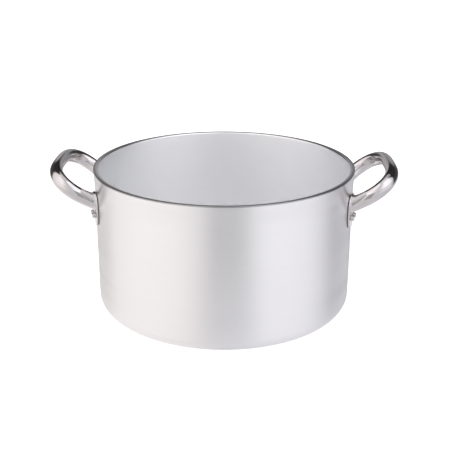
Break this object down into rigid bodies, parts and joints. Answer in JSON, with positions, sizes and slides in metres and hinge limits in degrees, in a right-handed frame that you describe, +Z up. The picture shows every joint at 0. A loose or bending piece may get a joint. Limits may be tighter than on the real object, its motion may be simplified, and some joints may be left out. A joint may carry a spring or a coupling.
{
  "type": "stock pot",
  "caption": "Deep round open-topped aluminium cooking pot with a thick straight wall and riveted tubular steel loop handles on opposite sides.",
  "frame": {"origin": "centre of the flat base, on the surface that the pot stands on", "axes": "+Z up along the pot's axis; +X through the middle of the two handles; Y across, symmetric front to rear"},
  "size_m": [0.3824, 0.29, 0.1699],
  "materials": {
    "pot_body": "satin turned and brushed, lathe lines round the wall",
    "handle_steel": "polished stainless steel",
    "rivets": "bright, slightly burred by setting"
  },
  "bodies": {
    "root": {"pot_body": "pot_body", "handle_tube_left": "handle_steel", "handle_tube_right": "handle_steel", "foot_plate_left_front": "handle_steel", "foot_plate_left_rear": "handle_steel", "foot_plate_right_front": "handle_steel", "foot_plate_right_rear": "handle_steel", "rivet_left_front_inner": "rivets", "rivet_left_front_outer": "rivets", "rivet_left_rear_inner": "rivets", "rivet_left_rear_outer": "rivets", "rivet_right_front_inner": "rivets", "rivet_right_front_outer": "rivets", "rivet_right_rear_inner": "rivets", "rivet_right_rear_outer": "rivets"}
  },
  "joints": []
}
